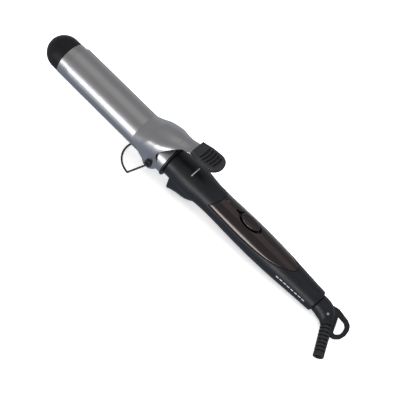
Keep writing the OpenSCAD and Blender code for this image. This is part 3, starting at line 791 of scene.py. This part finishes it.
button = Shape()
rows = []
for inset, dz in [(0, None), (0, 0.9), (0.06, 0.5), (0.22, 0.2), (0.5, 0.04), (0.8, 0)]:
    e = ellipse(REC_X, BTN_A - inset, BTN_B - inset, 96)
    z = np.full(len(e), FLOOR_Z + 0.4) if dz is None else button_top(e[:, 0], e[:, 1]) - dz
    rows.append(np.column_stack([e, z]))
for f in (0.85, 0.7, 0.5, 0.3, 0.12, 0.001):
    e = ellipse(REC_X, (BTN_A - 0.8) * f, (BTN_B - 0.8) * f, 96)
    rows.append(np.column_stack([e, button_top(e[:, 0], e[:, 1])]))
button.grid(rows, ring=True)
button.face(rows[0])
place(button.object("switch_cap", 50), "switch", "panel", "panel_paint", "switch_button")

# indicator: small lens in a dark ring
lens = Shape()
top = float(radius(lens_x))
lens.grid(
    [
        np.column_stack([ellipse(lens_x, rr, rr, 48), np.full(48, top + z)])
        for rr, z in [(lens_r, -1.6), (lens_r, -0.35), (lens_r - 0.12, -0.2), (lens_r * 0.72, -0.32),
                      (lens_r * 0.66, -0.2), (lens_r * 0.4, 0.02), (0.01, 0.1)]
    ],
    ring=True,
)
lens.face([(*p, top - 1.6) for p in ellipse(lens_x, lens_r, lens_r, 48)])
place(lens.object("indicator_window"), "handle", "lens", "lens_clear", "indicator_lens")

# ---------------------------------------------------------------- clip

CLIP_R = BARREL_R + 0.3
SHEET = 1.0
CREASE_X = PIVOT_X - 24.8
LEVER_Z = TAB_LO[2] + 1.5
EAR_IN = CLIP_R + SHEET + 0.3
half_w = profile([
    (CREASE_X, CLIP_R), (CREASE_X + 3, CLIP_R + 0.15), (CREASE_X + 8, CLIP_R + 0.5),
    (CREASE_X + 14, EAR_IN - 0.05), (PIVOT_X - 4, EAR_IN), (PIVOT_X + 1, EAR_IN - 0.5),
    (PIVOT_X + 4, EAR_IN - 1.7), (PIVOT_X + 8, 13.8), (PIVOT_X + 12, 11.2), (PIVOT_X + 16, 8.8),
    (PIVOT_X + 20, 7.2), (TAB_LO[0] - 0.5, 6.45), (TAB_LO[0] + 6, 6.4),
])
centre_z = profile([
    (CREASE_X, 0), (CREASE_X + 3, 1.2), (CREASE_X + 8, 3.4), (CREASE_X + 14, 6.2), (PIVOT_X - 3, 9.0),
    (PIVOT_X + 1, 10.7), (PIVOT_X + 4, 12.7), (PIVOT_X + 8, 15.8), (PIVOT_X + 12, 21.4),
    (PIVOT_X + 16, 26.6), (PIVOT_X + 20, 30.6), (TAB_LO[0] - 0.5, LEVER_Z - 1.7),
    (TAB_LO[0] + 6, LEVER_Z - 1.1),
])
flatten = profile([(PIVOT_X + 8, 1.0), (PIVOT_X + 12, 0.8), (PIVOT_X + 16, 0.534),
                   (PIVOT_X + 20, 0.268), (TAB_LO[0] - 0.5, 0.2), (TAB_LO[0] + 6, 0.2)])
ridge = profile([(CREASE_X, 0), (CREASE_X + 5, 0.25), (CREASE_X + 12, 0.35), (PIVOT_X - 2, 0.35),
                 (PIVOT_X + 6, 0.2), (PIVOT_X + 14, 0)])
ridge_at = profile([(CREASE_X, 69), (CREASE_X + 8, 62), (CREASE_X + 20, 54), (PIVOT_X + 14, 52)])
arch = np.radians(np.concatenate([np.linspace(0, 88, 31), [90]]))
skirt_z = np.array([1.0, 3.0, 6.0, 10.0, 15.0, 20.0, 26.0])


def clip_section(x, grow):
    """Half of the sheet's section at x: from the top round to the side, then straight down."""
    w, c = float(half_w(x)) + grow, float(centre_z(x))
    h = (w - grow) * float(flatten(x)) + grow
    bump = float(ridge(x)) * np.exp(-((np.degrees(arch) - float(ridge_at(x))) / 15) ** 2)
    y = (w + bump) * np.sin(arch)
    y = np.minimum(y, w + 0.35 * bump + 0.02)
    z = c + (h + bump) * np.cos(arch)
    y = np.concatenate([y, np.full(len(skirt_z), w)])
    z = np.concatenate([z, c - skirt_z])
    return y, z


clip_x = np.concatenate([
    np.linspace(CLIP_X0 - 1, CREASE_X - 1, 40),
    [CREASE_X - 0.35, CREASE_X, CREASE_X + 0.35, CREASE_X + 1],
    np.linspace(CREASE_X + 1.8, TAB_LO[0] + 6, 62),
])


def clip_rows(grow):
    rows = []
    for x in clip_x:
        y, z = clip_section(x, grow)
        rows.append([(x, -b, c) for b, c in zip(y[::-1], z[::-1])] + [(x, b, c)
            for b, c in zip(y[1:], z[1:])])
    return np.array(rows)


out_rows, in_rows = clip_rows(SHEET), clip_rows(0)
n, m = out_rows.shape[:2]
faces = quads(n, m)
clip = Shape()
clip.thick(out_rows.reshape(-1, 3), in_rows.reshape(-1, 3), faces)
clip = clip.object("clip_sheet")
# side view of the clip: the trough's edge, the ear round the pivot and the hood's open rear edge
EAR_R = 7.8
trough_z = CLIP_R * math.cos(math.radians(78))
corner = 11.0
ear_arc = [(PIVOT_X + EAR_R * math.cos(a), PIVOT_Z + EAR_R * math.sin(a))
           for a in np.radians(np.arange(205, 366, 8))]
side_view = (
    [(CLIP_X0 + corner - corner * math.cos(a), trough_z + corner - corner * math.sin(a))
     for a in np.radians(np.linspace(0, 90, 12))]
    + [(CREASE_X - 2, trough_z), (CREASE_X + 3.5, 2.3), (CREASE_X + 9, -1.1),
       (PIVOT_X - 8.6, PIVOT_Z - 2.2)]
    + ear_arc
    + [(PIVOT_X + 6.6, PIVOT_Z + 3.6), (PIVOT_X + 4.2, 4.6), (PIVOT_X + 2.0, 8.4),
       (PIVOT_X + 1.2, 11.4), (PIVOT_X + 2.2, 15.0), (PIVOT_X + 4.6, 19.2), (PIVOT_X + 8, 23.2),
       (PIVOT_X + 12, 27.2), (PIVOT_X + 16, 30.0), (PIVOT_X + 20, 31.5),
       (TAB_LO[0] + 6.6, LEVER_Z - 1.2), (TAB_LO[0] + 6.6, 48), (CLIP_X0, 48)]
)
smooth_view = fillet(side_view,
                     [0.4] * 12 + [4, 4, 6, 1.0] + [0.3] * len(ear_arc) + [1.5, 3, 3, 3, 4, 5, 5, 5, 4,
                         3, 0.3, 0.5, 0.5], steps=5, closed=True)
clip = carve(clip, [prism(smooth_view, -26, 26, axis="y")], operation="INTERSECT", sharp=30)
EAR_BORE_R = 2.52
bore = Shape()
bore.closed_loft([
    [(PIVOT_X + EAR_BORE_R * math.cos(a), y, PIVOT_Z + EAR_BORE_R * math.sin(a)) for a in circle(36)]
    for y in (-30, 30)
])
clip = carve(clip, [bore.object("cutter")], sharp=30)
place(clip, "clip", "clip", "clip_metal", "clip_plate")

# pivot knobs: shoulder screws with a rounded head that the stand's wire comes out of
for side, name in ((-1, "near"), (1, "far")):
    knob = Shape()
    y1 = KNOB_Y
    y0 = y1 - 2
    pts = [(y1 - 9.5, 2.0), (y0 - 4.3, 2.0), (y0 - 4.2, 2.45), (y0, 2.45), (y0 + 0.02, 3.2),
           (y0 + 0.2, 3.5), (y1 - 0.6, 3.5), (y1 - 0.2, 3.32), (y1, 2.9), (y1 + 0.05, 1.6),
           (y1 - 0.15, 1.25), (y1 - 0.3, 0.97), (y1 - 9.5, 0.97)]
    rows = [
        [(PIVOT_X + r * math.cos(a), side * y, PIVOT_Z + r * math.sin(a)) for a in circle(64)]
        for y, r in pts
    ]
    knob.grid(rows, ring=True, loop=True)
    place(knob.object(f"pivot_knob_{name}", 36), "handle", "part", "black_part",
          *(["pivot_knobs"] if side == -1 else []))

# ---------------------------------------------------------------- thumb tab

tab_len = TAB_HI[0] - TAB_LO[0]
TAB_R = 10.2
TAB_N = 76
tab_half = profile([(0, 7.6), (2.5, 8.2), (6, 9.2), (10, 10), (15, 10.2), (18.2, 10.2)])
tab_top_z = profile([(0, LEVER_Z + 3.6), (5, LEVER_Z + 3.7), (10, LEVER_Z + 4.1), (16, LEVER_Z + 4.8),
                     (22, LEVER_Z + 5.7), (tab_len, LEVER_Z + 6.7)])
tab_low_z = profile([(0, LEVER_Z - 1.5), (10, LEVER_Z - 1.5), (18, LEVER_Z - 0.5),
    (tab_len, LEVER_Z + 2.5)])


def tab_outline(inset):
    """Plan of the tab: square front, sides that widen, round back; symmetric point by point."""
    x_round = tab_len - TAB_R
    near = [(x, -float(tab_half(x))) for x in np.linspace(0, x_round, 22)]
    back = [(x_round + TAB_R * math.cos(a), TAB_R * math.sin(a))
            for a in np.radians(np.linspace(-86, 0, 20))]
    half = resample(fillet([(0, 0)] + near + back, [0, 1.2] + [0] * (len(near) + len(back) - 1),
        steps=6), TAB_N)
    p = np.vstack([half, (half * [1, -1])[-2:0:-1]])
    if inset:
        d = np.roll(p, -1, 0) - np.roll(p, 1, 0)
        d /= np.linalg.norm(d, axis=1)[:, None]
        p = p + inset * np.stack([-d[:, 1], d[:, 0]], 1)
    return p


def tab_ring(inset, z_of):
    p = tab_outline(inset)
    return np.column_stack([p[:, 0] + TAB_LO[0], p[:, 1], z_of(np.clip(p[:, 0], 0, tab_len))])


tab = Shape()
rows = [
    tab_ring(1.4, lambda x: tab_low_z(x)),
    tab_ring(0.5, lambda x: tab_low_z(x) + 0.15),
    tab_ring(0.12, lambda x: tab_low_z(x) + 0.5),
    tab_ring(0.0, lambda x: tab_low_z(x) + 1.0),
    tab_ring(0.0, lambda x: tab_top_z(x) - 0.9),
    tab_ring(0.1, lambda x: tab_top_z(x) - 0.45),
    tab_ring(0.32, lambda x: tab_top_z(x) - 0.15),
    tab_ring(0.65, lambda x: tab_top_z(x)),
    tab_ring(1.5, lambda x: tab_top_z(x) + 0.05),
]
tab.grid(rows, ring=True)
for row, z_of, lift in ((rows[0], tab_low_z, 0), (rows[-1], tab_top_z, 0.05)):
    across = []
    for j in range(TAB_N):
        q = np.linspace(row[j], row[-j], 9)
        q[1:-1, 2] = z_of(np.clip(q[1:-1, 0] - TAB_LO[0], 0, tab_len)) + lift
        across.append(q)
    tab.grid(across)
tab = tab.object("thumb_rest", 30)
cutters = []
for i in range(5):
    gx = 9.4 + 3.2 * i
    gz = float(tab_top_z(gx))
    reach = 7.5 - 0.3 * abs(i - 1.5) ** 1.5
    cutter = Shape()
    rows = []
    for y in np.linspace(-1, 1, 25):
        s = math.sqrt(max(1 - y**8, 0.0)) if abs(y) < 1 else 0.0
        depth = 2.0 * (0.35 + 0.65 * s)
        w = 1.05 * (0.45 + 0.55 * s)
        bow = 0.8 * y * y
        ring_p = []
        for a in np.radians(np.linspace(0, 180, 9)):
            ring_p.append((gx - bow + w * math.cos(a), y * reach, gz - depth * math.sin(a)))
        ring_p += [(gx - bow - w * 1.1, y * reach, gz + 2.5), (gx - bow + w * 1.1, y * reach, gz + 2.5)]
        rows.append([(x + TAB_LO[0], yy, z) for x, yy, z in ring_p])
    cutter.closed_loft(rows)
    cutters.append(cutter.object("cutter"))
socket = Shape()
socket.closed_loft([
    [(x, y, z)
     for y, z in [(-7.5, LEVER_Z - 3), (7.5, LEVER_Z - 3), (7.5, LEVER_Z - 0.2), (6.9, LEVER_Z + 0.9),
                  (0, LEVER_Z + 1.75),
                            (-6.9, LEVER_Z + 0.9), (-7.5, LEVER_Z - 0.2)]]
    for x in (TAB_LO[0] - 1, TAB_LO[0] + 6.7)
])
tab = carve(tab, cutters + [socket.object("cutter")], sharp=30)
place(tab, "clip", "tab", "tab_plastic", "thumb_tab")

# ---------------------------------------------------------------- wire stand

bow = [bow_point(a, BOW_R) for a in np.linspace(-1, 1, 61) * math.asin(min(1, LEG_Y / BOW_R))]
path = (
    [np.array([PIVOT_X, -KNOB_Y + 7, PIVOT_Z]), np.array([PIVOT_X, -LEG_Y, PIVOT_Z])]
    + bow
    + [np.array([PIVOT_X, LEG_Y, PIVOT_Z]), np.array([PIVOT_X, KNOB_Y - 7, PIVOT_Z])]
)
bend = [0, 1.5, 1.3] + [0] * (len(bow) - 2) + [1.3, 1.5, 0]
path = fillet(path, bend, steps=8)
keep = [0] + [i for i in range(1, len(path)) if np.linalg.norm(path[i] - path[i - 1]) > 0.02]
wire = Shape()
wire.tube(path[keep], WIRE_R, n=20)
place(wire.object("wire_loop"), "stand", "wire", "black_wire", "wire_stand")

# ---------------------------------------------------------------- cord elbow, loop, pin and boot

ELBOW_X = HANDLE_L + 13.9
BOOT_TURN, DROOP = math.radians(67), math.radians(4)
along_boot = np.array([math.cos(BOOT_TURN), -math.sin(BOOT_TURN), 0])
across_boot = np.array([math.sin(BOOT_TURN), math.cos(BOOT_TURN), 0])
elbow_at = np.array([ELBOW_X, 0, 0])


def droop(p):
    p = np.array(p, float)
    y, z = p[..., 1].copy(), p[..., 2].copy()
    p[..., 1] = y * math.cos(DROOP) - z * math.sin(DROOP)
    p[..., 2] = y * math.sin(DROOP) + z * math.cos(DROOP)
    return p


hub_end = HANDLE_L + 0.3
ctrl = elbow_at + np.array([-1.5, 0, 0])
last = elbow_at + along_boot * 11
t = np.linspace(0, 1, 30)[:, None]
start = np.array([hub_end + 2.5, 0, 0])
bend_path = (1 - t) ** 2 * start + 2 * t * (1 - t) * ctrl + t * t * last
path = np.vstack([[[hub_end, 0, 0], [hub_end + 0.12, 0, 0], [hub_end + 0.45, 0, 0],
                   [hub_end + 1.1, 0, 0]], bend_path,
                  [elbow_at + along_boot * 11.6, elbow_at + along_boot * 12.0]])
radii = np.concatenate([[7.5, 8.0, 8.3, 8.4],
    np.interp(t[:, 0], [0, 0.35, 0.6, 0.85, 1], [8.4, 8.5, 7.8, 6.1, 5.3]), [5.2, 4.9]])
elbow = Shape()
elbow.tube(droop(path), radii, n=64)
elbow = elbow.object("elbow_body", 40)
socket = Shape()
socket.tube(droop([elbow_at + along_boot * s for s in (7.5, 14)]), 4.0, n=48)
hole = Shape()
pin_x, pin_y = ELBOW_X - 1.6, -5.5
PIN_R, PIN_HOLE_R = 1.15, 1.25
hole.closed_loft([droop([(pin_x + PIN_HOLE_R * math.cos(a), pin_y + PIN_HOLE_R * math.sin(a), z)
    for a in circle(32)]) for z in (5, 14)])
mouth = Shape()
mouth.tube([(hub_end - 2, 0, 0), (HANDLE_L + 5.1, 0, 0)], 4.05, n=48)
elbow = carve(elbow, [socket.object("cutter"), hole.object("cutter"), mouth.object("cutter")], sharp=36)
place(elbow, "swivel", "body", "body_plastic", "cord_elbow")

# hanging loop: a flat band round a D-shaped eye, its edges rounded
outline_out = [(-3, 7.5), (4, 9.2), (15, 7.2), (19.3, 4.8), (21.2, 0.6), (21.6, -6), (20, -10.6),
               (16.4, -14.4), (12, -15.9), (8, -14.5), (2, -4)]
outline_in = [(6.8, 4.2), (14.3, 3.4), (17, 1.2), (17.9, -3.4), (17.2, -8), (14.6, -11.4),
              (12.4, -11.8)]
loop_out = resample(fillet(outline_out, [2, 3, 5, 5, 6, 8, 5, 5, 4, 3, 2], closed=True), 160,
                    closed=True)
loop_in = resample(fillet(outline_in, [1.2, 3, 3, 5, 4, 2.5, 1.2], closed=True), 160, closed=True)
loop_in = np.roll(loop_in, -int(np.argmin(np.linalg.norm(loop_in - loop_out[0], axis=1))), 0)


def offset(p, d):
    t = np.roll(p, -1, 0) - np.roll(p, 1, 0)
    t /= np.linalg.norm(t, axis=1)[:, None]
    return p + d * np.stack([-t[:, 1], t[:, 0]], 1)


LOOP_T = 1.8  # half the band's thickness
band_edge = [(0.55, LOOP_T), (0.2, LOOP_T - 0.12), (0.02, LOOP_T - 0.5), (0, 0), (0.02, 0.5 - LOOP_T),
             (0.2, 0.12 - LOOP_T), (0.55, -LOOP_T)]
loop = Shape()
rows = []
for outline, grow, edge in ((loop_out, -1, band_edge), (loop_in, 1, band_edge[::-1])):
    for d, z in edge:
        p = offset(outline, grow * d)
        rows.append(np.column_stack([p[:, 0] + ELBOW_X, p[:, 1], np.full(len(p), z)]))
loop.grid([droop(r) for r in rows], ring=True, loop=True)
place(loop.object("hanging_loop", 40), "swivel", "body", "body_plastic")

# pin: painted light grey, standing in for the highlight on the pin's head
pin = Shape()
pin.grid(
    [
        droop([(pin_x + rr * math.cos(a), pin_y + rr * math.sin(a), z) for a in circle(40)])
        for rr, z in [(0.01, 5.1), (PIN_R, 5.1), (PIN_R, 7.1), (1.05, 7.3), (0.8, 7.4), (0.4, 7.36),
                      (0.01, 7.3)]
    ],
    ring=True,
)
place(pin.object("elbow_plug"), "swivel", "pin", "pin_light", "elbow_pin")

# boot: a rubber sleeve whose slots leave a plain spine along the side that faces the loop
boot = Shape()
BOOT_X0, BOOT_X1 = 10.0, 40.0
BOOT_R, CORD_R = 4.6, 3.0
SLOT_X0, SLOT_PITCH, SLOT_COUNT, SLOT_DEPTH = 12.4, 3.35, 8, 1.35
slot_at = [SLOT_X0 + SLOT_PITCH * i for i in range(SLOT_COUNT)]
xs, depth = [BOOT_X0 - 3.9, BOOT_X0 - 0.3, BOOT_X0 - 0.28, BOOT_X0 - 0.1, BOOT_X0 + 0.15], [0, 0, 0, 0,
    0]
base_r = [3.4, 3.4, 4.3, 4.75, 4.9]
for sx in slot_at:
    for dx, dd in [(-0.78, 0), (-0.7, 0.12), (-0.62, 0.5), (-0.55, 1), (0.0, 1), (0.55, 1), (0.62, 0.5),
                   (0.7, 0.12), (0.78, 0), (1.2, 0)]:
        xs.append(sx + dx)
        depth.append(dd)
        base_r.append(4.9 - 0.3 * (sx - 12) / 24)
xs += [BOOT_X1 - 1.0, BOOT_X1 - 0.4, BOOT_X1 - 0.1, BOOT_X1, BOOT_X1 - 0.05, BOOT_X1 - 0.4,
       BOOT_X0 - 3.9]
depth += [0] * 7
base_r += [BOOT_R, BOOT_R, BOOT_R - 0.15, BOOT_R - 0.5, CORD_R + 0.25, CORD_R, CORD_R]
phi = np.radians(np.concatenate([np.linspace(-118, 118, 49), [120, 121.5, 123],
    np.linspace(126, 234, 19), [237, 238.5, 240]]))
# phi is measured from the near side opposite the loop; slots open over |phi| < 120 degrees
open_ = np.clip((np.radians(122.2) - np.abs((phi + math.pi) % (2 * math.pi) - math.pi)) / math.radians(2), 0, 1)
up = np.array([0, 0, 1.0])
rows = []
for x, d, br in zip(xs, depth, base_r):
    rr = br - d * open_ * SLOT_DEPTH
    c = elbow_at + along_boot * x
    rows.append(droop(c + rr[:, None] * (-np.cos(phi)[:, None] * across_boot + np.sin(phi)[:, None] * up)))
boot.grid(rows, ring=True, loop=True)
place(boot.object("boot_sleeve", 36), "swivel", "rubber", "boot_rubber", "cord_boot")

# ---------------------------------------------------------------- plain printed marks


def mark(name, x0, x1, a0, a1, body_name="handle", lift=0.03, n=10, m=6):
    """A thin plain pad printed on the handle between two stations and two angles in degrees."""
    s = Shape()
    x = np.linspace(x0, x1, n)
    a = np.radians(np.linspace(a0, a1, m))
    gx, ga = np.meshgrid(x, a, indexing="ij")
    r = outer_radius(gx, ga)
    top, low = at(gx, ga, r + lift), at(gx, ga, r - 0.05)
    f = quads(n, m)
    s.thick(top.reshape(-1, 3), low.reshape(-1, 3), f)
    return place(s.object(name), body_name, "print", None)


DASH_X0, DASH_X1, DASH_PITCH, DASH_COUNT = 132, 134.8, 4, 8
for i in range(DASH_COUNT):
    dash_at = DASH_PITCH * i
    mark(f"handle_dash_{i}", DASH_X0 + dash_at, DASH_X1 + dash_at, -82.5, -78, n=4, m=4)
mark("neck_dash", 23.6, 24.4, -32, 8, n=4, m=20)

# ---------------------------------------------------------------- stage, light and camera

mesh = bpy.data.meshes.new("floor")
mesh.from_pydata([(-4, -4, 0), (4, -4, 0), (4, 4, 0), (-4, 4, 0)], [], [[0, 1, 2, 3]])
floor = bpy.data.objects.new("floor", mesh)
bpy.context.scene.collection.objects.link(floor)
dress(floor, "floor")
floor.visible_glossy = False


def softbox(name, at_, toward, size, power, colour=(1, 1, 1), glossy=True):
    light = bpy.data.lights.new(name, "AREA")
    light.shape, light.size, light.size_y = "RECTANGLE", size[0], size[1]
    light.energy, light.color = power, colour
    obj = bpy.data.objects.new(name, light)
    obj.location = at_
    obj.rotation_euler = (Vector(toward) - Vector(at_)).to_track_quat("-Z", "Y").to_euler()
    bpy.context.scene.collection.objects.link(obj)
    obj.visible_glossy = glossy
    return obj


softbox("near_strip", (-0.04, -1.1, 0.16), (-0.04, 0, 0.03), (1.1, 0.42), 4.6)
softbox("strip_core", (-0.04, -1.08, 0.15), (-0.04, 0, 0.03), (1.1, 0.13), 2.2)
softbox("overhead", (0.0, 0.15, 1.6), (0, 0, 0), (2.2, 1.2), 2, (1.0, 0.98, 0.96))
softbox("floor_fill", (0.1, 0.1, 2.2), (0, 0, 0), (4.0, 4.0), 110, glossy=False)

world = bpy.data.worlds.new("studio")
bpy.context.scene.world = world
world.use_nodes = True
wn, wl = world.node_tree.nodes, world.node_tree.links
back = wn["Background"]
direction = wn.new("ShaderNodeTexCoord")
split = wn.new("ShaderNodeSeparateXYZ")
ramp = wn.new("ShaderNodeValToRGB")
lift_z = wn.new("ShaderNodeMapRange")
lift_z.inputs["From Min"].default_value = -1
wl.new(direction.outputs["Generated"], split.inputs[0])
wl.new(split.outputs["Z"], lift_z.inputs["Value"])
wl.new(lift_z.outputs["Result"], ramp.inputs["Fac"])
wl.new(ramp.outputs["Color"], back.inputs["Color"])
back.inputs["Strength"].default_value = 0.9
stops = [(0.0, (0.30, 0.34, 0.42)), (0.28, (0.40, 0.44, 0.53)), (0.42, (0.62, 0.65, 0.7)),
         (0.5, (0.62, 0.63, 0.65)), (0.62, (0.44, 0.44, 0.45)), (1.0, (0.40, 0.39, 0.38))]
ramp.color_ramp.elements[0].position, ramp.color_ramp.elements[0].color = stops[0][0], (*stops[0][1], 1)
ramp.color_ramp.elements[1].position, ramp.color_ramp.elements[1].color = stops[-1][0], (*stops[-1][1],
    1)
for pos, col in stops[1:-1]:
    e = ramp.color_ramp.elements.new(pos)
    e.color = (*col, 1)

# camera: 677 mm from the axis, 36 degrees forward of straight above, turned along the iron
cam = bpy.data.cameras.new("camera")
cam.lens, cam.sensor_width, cam.sensor_fit = 72, 36, "HORIZONTAL"
cam.clip_start, cam.clip_end = 0.01, 20
camera = bpy.data.objects.new("camera", cam)
bpy.context.scene.collection.objects.link(camera)
reach, lean, turn = 677, math.radians(36), math.radians(6.25)
aim = math.radians(36 - 0.712)
cam_station = 115.7
roll_cos, roll_sin = 0.7118, 0.7024
where = Vector((cam_station, -reach * math.sin(lean), reach * math.cos(lean)))
radial = Vector((0, -math.sin(aim), math.cos(aim)))
along_x = Vector((1, 0, 0))
toward_cam = math.cos(turn) * radial + math.sin(turn) * along_x
right_v = math.cos(turn) * along_x - math.sin(turn) * radial
up_v = Vector((0, math.cos(aim), math.sin(aim)))
cam_x = roll_cos * right_v + roll_sin * up_v
cam_y = -roll_sin * right_v + roll_cos * up_v
turned = IRON.to_3x3() @ Matrix((cam_x, cam_y, toward_cam)).transposed()
turned = turned @ Matrix.Scale(1 / MM, 3)
camera.matrix_world = Matrix.Translation(IRON @ where) @ turned.to_4x4()
bpy.context.scene.camera = camera

bpy.context.scene.view_settings.view_transform = "Standard"
bpy.context.scene.view_settings.look = "None"
